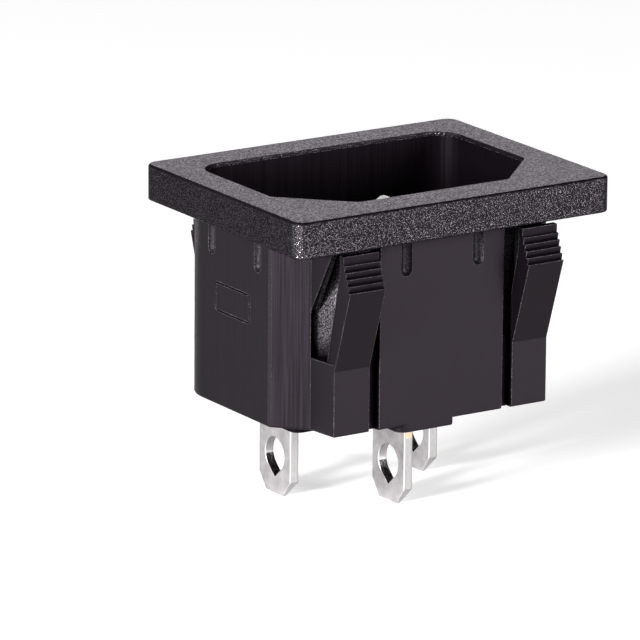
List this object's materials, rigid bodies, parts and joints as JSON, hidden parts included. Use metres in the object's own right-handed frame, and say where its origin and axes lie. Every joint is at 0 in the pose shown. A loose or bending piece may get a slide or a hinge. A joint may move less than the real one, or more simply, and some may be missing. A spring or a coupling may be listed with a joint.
{
  "type": "c14 panel inlet socket",
  "caption": "Snap-in mains inlet: rectangular grained bezel, keyed socket cavity with flat blades, spring arms behind the panel and drilled solder tabs.",
  "frame": {"origin": "middle of the panel seat, which is the underside of the bezel, in the middle of the panel cut-out", "axes": "+Z out of the socket mouth, +X along the long side of the bezel, -Y towards the long side with the cut-off cavity corners and the earth blade"},
  "size_m": [0.031, 0.0242, 0.028],
  "materials": {
    "housing": "black glass-filled nylon, spark-eroded grain on the bezel, satin on the body",
    "terminals": "nickel-plated brass, dull, with light scratches"
  },
  "bodies": {
    "root": {"housing": "housing", "power_pin_left": "terminals", "power_pin_right": "terminals", "earth_pin": "terminals"}
  },
  "joints": []
}
